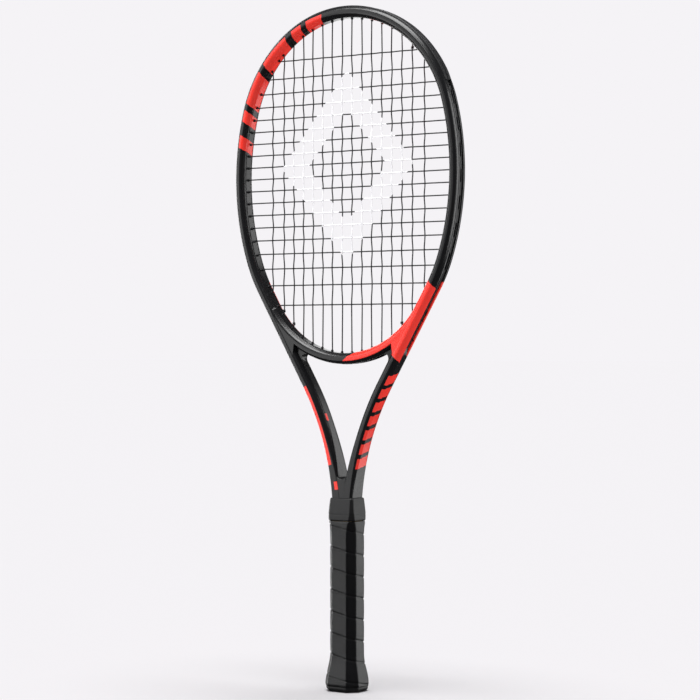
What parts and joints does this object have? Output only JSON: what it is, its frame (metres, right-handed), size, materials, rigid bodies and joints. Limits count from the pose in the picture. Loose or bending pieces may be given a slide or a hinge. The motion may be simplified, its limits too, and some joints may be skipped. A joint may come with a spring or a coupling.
{
  "type": "tennis racket",
  "caption": "Tennis racket with an oval strung head, an open throat, a wrapped octagonal handle, a sliding rubber collar and a pull-out door in its butt.",
  "frame": {"origin": "centre of the flat butt end, which is the centre of the bottom of the part's box", "axes": "+Z along the racket to its tip, X across the head, Y through the string bed, the front facing -Y"},
  "size_m": [0.27, 0.0364, 0.6858],
  "materials": {
    "frame_paint": "satin black lacquer over carbon",
    "frame_red": "orange-red lacquer over carbon",
    "guard_nylon": "moulded black nylon",
    "string_monofilament": "black polyester monofilament",
    "pallet_foam": "moulded rigid foam",
    "cap_plastic": "moulded black plastic",
    "staple_steel": "galvanised wire",
    "grip_leather": "black synthetic leather wrap",
    "tape_vinyl": "black vinyl tape",
    "collar_rubber": "moulded black rubber"
  },
  "bodies": {
    "frame": {"hoop_crown": "frame_paint", "hoop_left": "frame_paint", "hoop_right": "frame_red", "throat_bridge": "frame_paint", "throat_fillets": "frame_paint", "shaft_left": "frame_paint", "shaft_right": "frame_paint", "neck_wedge": "frame_paint", "bumper_guard": "guard_nylon", "guard_grommets": "guard_nylon", "grommet_strip_left": "guard_nylon", "grommet_strip_right": "guard_nylon", "grommet_strip_throat": "guard_nylon", "main_strings": "string_monofilament", "cross_strings": "string_monofilament", "string_knots": "string_monofilament", "pallet_front": "pallet_foam", "pallet_back": "pallet_foam", "butt_cap": "cap_plastic", "cap_staples": "staple_steel", "grip_wrap": "grip_leather", "finishing_tape": "tape_vinyl"},
    "collar": {"rubber_collar": "collar_rubber"},
    "door": {"butt_cap_door": "cap_plastic"}
  },
  "joints": [
    {"name": "collar_slide", "type": "slide", "parent": "frame", "child": "collar", "axis": [0, 0, 1], "range_m": [0, 0.007]},
    {"name": "door_pull", "type": "slide", "parent": "frame", "child": "door", "axis": [0, 0, -1], "range_m": [0, 0.014]}
  ]
}
